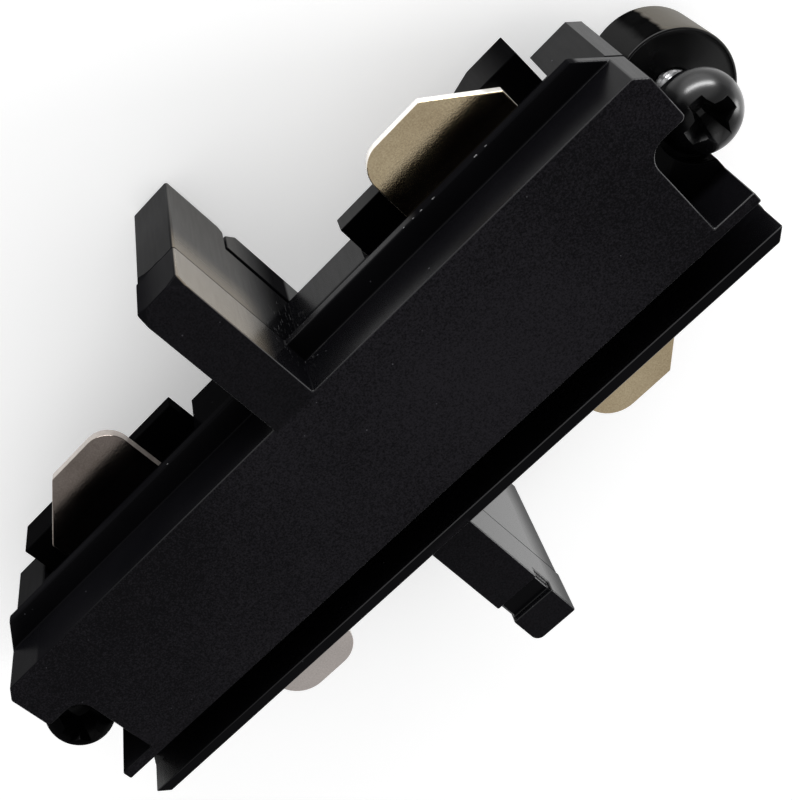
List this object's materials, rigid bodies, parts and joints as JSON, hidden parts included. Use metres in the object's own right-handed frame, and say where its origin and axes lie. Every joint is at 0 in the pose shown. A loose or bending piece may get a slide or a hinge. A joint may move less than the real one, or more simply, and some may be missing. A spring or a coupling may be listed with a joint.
{
  "type": "lighting track connector",
  "caption": "Straight in-line joiner for single-circuit lighting track: keyed body with crosswise arms, side contact blades and clamping end screws.",
  "frame": {"origin": "middle of the rib's back face, on the track's middle plane, which meets the track's floor", "axes": "+X along the track, +Y towards the side with the plain flange, +Z out through the front plate"},
  "size_m": [0.0634, 0.035, 0.0182],
  "materials": {
    "cover_plastic": "fine-grained black moulding",
    "body_plastic": "smooth black moulding",
    "contact_metal": "nickel-plated, satin",
    "bar_metal": "plain sheet",
    "screw_steel": "blackened steel, glossy",
    "clip_steel": "zinc-plated",
    "disc_metal": "turned, glossy black"
  },
  "bodies": {
    "housing": {"front_cover": "cover_plastic", "rear_body": "body_plastic", "rear_cover": "body_plastic", "contact_holder_left_a": "body_plastic", "contact_holder_left_b": "body_plastic", "contact_holder_right_a": "body_plastic", "contact_holder_right_b": "body_plastic", "contact_blade_left_a": "contact_metal", "contact_blade_left_b": "contact_metal", "contact_blade_right_a": "contact_metal", "contact_blade_right_b": "contact_metal", "busbar_left": "bar_metal", "busbar_right": "bar_metal", "rivet_left_a": "bar_metal", "rivet_left_b": "bar_metal", "rivet_right_a": "bar_metal", "rivet_right_b": "bar_metal", "cover_screw_inner_a": "screw_steel", "cover_screw_inner_b": "screw_steel", "cover_screw_outer_a": "screw_steel", "cover_screw_outer_b": "screw_steel"},
    "screw_a": {"end_screw_a": "screw_steel", "retaining_clip_a": "clip_steel"},
    "screw_b": {"end_screw_b": "screw_steel", "retaining_clip_b": "clip_steel"},
    "disc_a": {"clamp_disc_a": "disc_metal"},
    "disc_b": {"clamp_disc_b": "disc_metal"}
  },
  "joints": [
    {"name": "screw_a_turn", "type": "hinge", "parent": "housing", "child": "screw_a", "pos_m": [0.0279, 0, 0.012], "axis": [0, 0, 1], "range_deg": [0, 1440]},
    {"name": "disc_a_travel", "type": "slide", "parent": "housing", "child": "disc_a", "axis": [0, 0, -1], "range_m": [0, 0.002]},
    {"name": "screw_b_turn", "type": "hinge", "parent": "housing", "child": "screw_b", "pos_m": [-0.0279, -0.0004, 0.012], "axis": [0, 0, 1], "range_deg": [0, 1440]},
    {"name": "disc_b_travel", "type": "slide", "parent": "housing", "child": "disc_b", "axis": [0, 0, -1], "range_m": [0, 0.002]}
  ],
  "couplings": [
    {"joint": "screw_a_turn", "follows": "disc_a_travel", "rad_per_m": 12566},
    {"joint": "screw_b_turn", "follows": "disc_b_travel", "rad_per_m": 12566}
  ]
}
